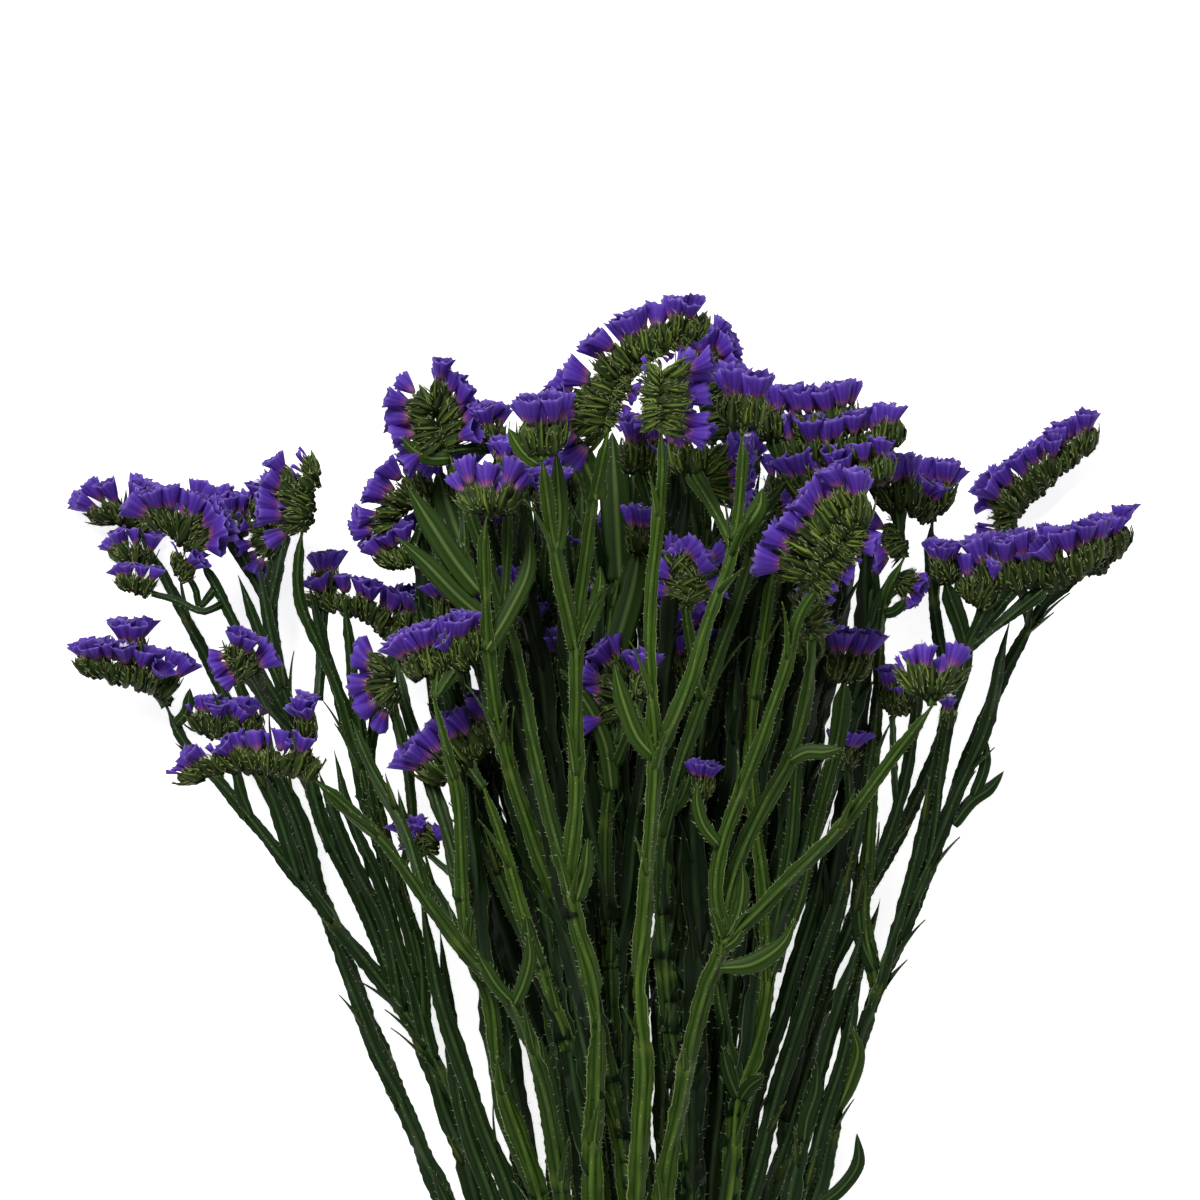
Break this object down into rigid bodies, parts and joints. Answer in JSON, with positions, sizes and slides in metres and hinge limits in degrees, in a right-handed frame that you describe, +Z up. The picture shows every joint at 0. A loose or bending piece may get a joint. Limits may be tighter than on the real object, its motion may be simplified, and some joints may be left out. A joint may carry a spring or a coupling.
{
  "type": "bunch of statice",
  "caption": "Cut bunch of violet statice lying flat: winged green stems gathered at a narrow neck, forking into stalks that end in one-sided heads of green bracts and papery violet calyxes.",
  "frame": {"origin": "on the surface that the bunch lies on, under the centre of its bounding box", "axes": "+Y along the bunch from the cut ends to the flowers, +X across the fan to the picture's right, +Z up from the surface, towards the camera"},
  "size_m": [0.3325, 0.5452, 0.1375],
  "materials": {
    "stem_green": "matt to satin green plant stalk, paler along the ribs",
    "branch_green": "matt to satin green plant stalk, lighter than the main stems",
    "leaf_green": "matt green leaf",
    "head_violet": "dry, papery, finely pleated violet over green bracts"
  },
  "bodies": {
    "root": {"stem_01": "stem_green", "stem_02": "stem_green", "stem_03": "stem_green", "stem_04": "stem_green", "stem_05": "stem_green", "stem_06": "stem_green", "stem_07": "stem_green", "stem_08": "stem_green", "stem_09": "stem_green", "stem_10": "stem_green", "stem_11": "stem_green", "stem_12": "stem_green", "stem_13": "stem_green", "stem_14": "stem_green", "stem_15": "stem_green", "stem_16": "stem_green", "branch_01": "branch_green", "branch_02": "branch_green", "branch_03": "branch_green", "branch_04": "branch_green", "branch_05": "branch_green", "branch_06": "branch_green", "branch_07": "branch_green", "branch_08": "branch_green", "leaf_01": "leaf_green", "leaf_02": "leaf_green", "flower_head_01": "head_violet", "flower_head_02": "head_violet", "flower_head_03": "head_violet", "flower_head_04": "head_violet", "flower_head_05": "head_violet", "flower_head_06": "head_violet", "flower_head_07": "head_violet", "flower_head_08": "head_violet", "flower_head_09": "head_violet", "flower_head_10": "head_violet", "flower_head_11": "head_violet", "flower_head_12": "head_violet", "flower_head_13": "head_violet", "flower_head_14": "head_violet", "flower_head_15": "head_violet", "flower_head_16": "head_violet", "flower_head_17": "head_violet", "flower_head_18": "head_violet", "flower_head_19": "head_violet", "flower_head_20": "head_violet", "flower_head_21": "head_violet", "flower_head_22": "head_violet", "flower_head_23": "head_violet", "flower_head_24": "head_violet", "flower_head_25": "head_violet", "flower_head_26": "head_violet", "flower_head_27": "head_violet", "flower_head_28": "head_violet", "flower_head_29": "head_violet", "flower_head_30": "head_violet", "flower_head_31": "head_violet", "flower_head_32": "head_violet", "flower_head_33": "head_violet", "flower_head_34": "head_violet"}
  },
  "joints": []
}
